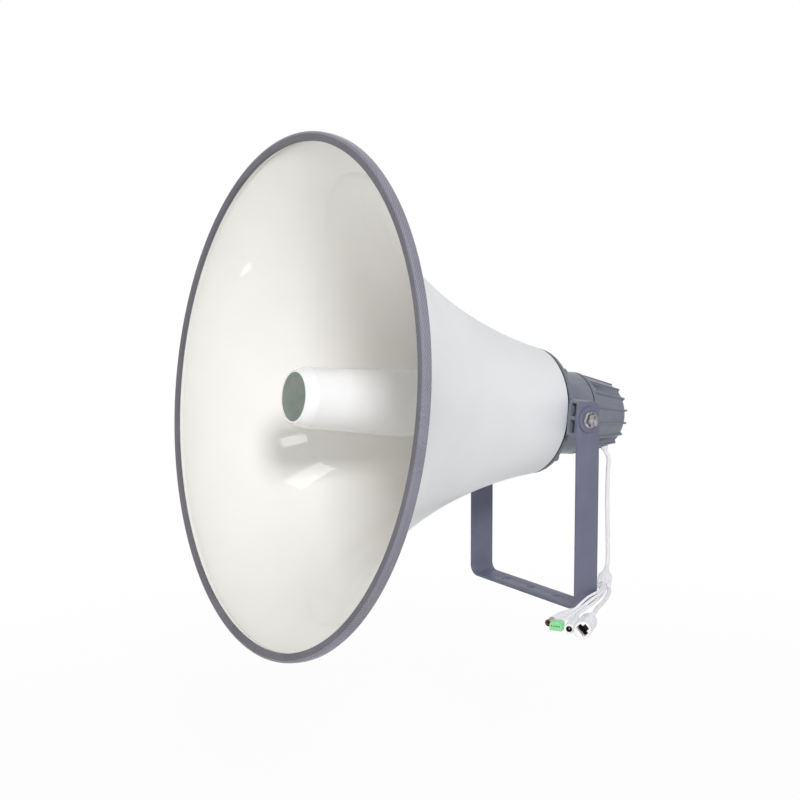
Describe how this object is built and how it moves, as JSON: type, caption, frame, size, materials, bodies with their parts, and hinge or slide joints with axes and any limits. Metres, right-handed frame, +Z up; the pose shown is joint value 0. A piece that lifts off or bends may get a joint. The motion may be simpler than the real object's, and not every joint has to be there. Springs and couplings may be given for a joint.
{
  "type": "pa horn speaker",
  "caption": "Re-entrant public-address horn: round exponential bell with a nose tube, ribbed rear housing, U-bracket and a network cable harness.",
  "frame": {"origin": "centre of the middle base hole, on the underside of the U-bracket's base strap", "axes": "+X along the tilt axis, through both pivot bolts; -Y towards the horn's mouth; +Z up from the bracket's base to the pivots"},
  "size_m": [0.51, 0.4529, 0.5074],
  "materials": {
    "bell_paint": "gloss",
    "reflector_paint": "gloss",
    "trim": "satin",
    "badge": "satin",
    "casting_paint": "satin",
    "bracket_paint": "satin",
    "rubber": "matte",
    "zinc": "satin",
    "nickel": "gloss",
    "brass": "satin",
    "copper": "satin",
    "ferrite": "matte",
    "black_plastic": "matte",
    "film": "satin",
    "board": "satin",
    "cable_white": "satin",
    "terminal_green": "satin",
    "insert_red": "satin"
  },
  "bodies": {
    "bracket": {"u_bracket": "bracket_paint", "cable_trunk": "cable_white", "cable_splitter": "cable_white", "network_tail": "cable_white", "network_coupler": "cable_white", "power_tail": "cable_white", "power_jack": "cable_white", "power_pin": "nickel", "terminal_tail": "cable_white", "terminal_sleeve": "cable_white", "terminal_block": "terminal_green", "phono_tail": "cable_white", "phono_boot": "cable_white", "phono_sleeve": "nickel", "phono_insert": "insert_red"},
    "horn": {"bell": "bell_paint", "rim_trim": "trim", "reflector_tube": "reflector_paint", "nose_badge": "badge", "throat_tube": "reflector_paint", "throat_screw_1": "zinc", "throat_screw_2": "zinc", "throat_screw_3": "zinc", "flange_screw_1": "zinc", "flange_screw_2": "zinc", "flange_screw_3": "zinc", "flange_screw_4": "zinc", "bell_gasket": "rubber", "base_casting": "casting_paint", "rear_cover": "casting_paint", "cover_screw_1": "zinc", "cover_screw_2": "zinc", "cover_screw_3": "zinc", "cover_screw_4": "zinc", "cover_seal": "rubber", "driver_screw_1": "zinc", "driver_screw_2": "zinc", "driver_screw_3": "zinc", "phase_plug": "black_plastic", "clamp_ring": "black_plastic", "surround": "film", "top_plate": "zinc", "magnet": "ferrite", "back_plate": "zinc", "board_standoff_1": "brass", "board_standoff_2": "brass", "board_standoff_3": "brass", "amplifier_board": "board", "line_transformer": "ferrite", "board_capacitor": "black_plastic", "cable_grommet": "rubber", "pivot_bolt_left": "zinc", "pivot_bolt_right": "zinc", "pivot_washer_left": "zinc", "pivot_washer_right": "zinc", "friction_washer_left": "rubber", "friction_washer_right": "rubber"},
    "diaphragm": {"diaphragm": "film", "voice_coil": "copper"}
  },
  "joints": [
    {"name": "tilt", "type": "hinge", "parent": "bracket", "child": "horn", "pos_m": [0, 0, 0.202], "axis": [1, 0, 0], "range_deg": [-83.5, 45], "deforming": ["cable_trunk"]},
    {"name": "diaphragm_travel", "type": "slide", "parent": "horn", "child": "diaphragm", "axis": [0, -0.9936, 0.1132], "range_m": [-0.0005, 0.0005], "stiffness_N_per_m": 500, "deforming": ["surround"]}
  ]
}
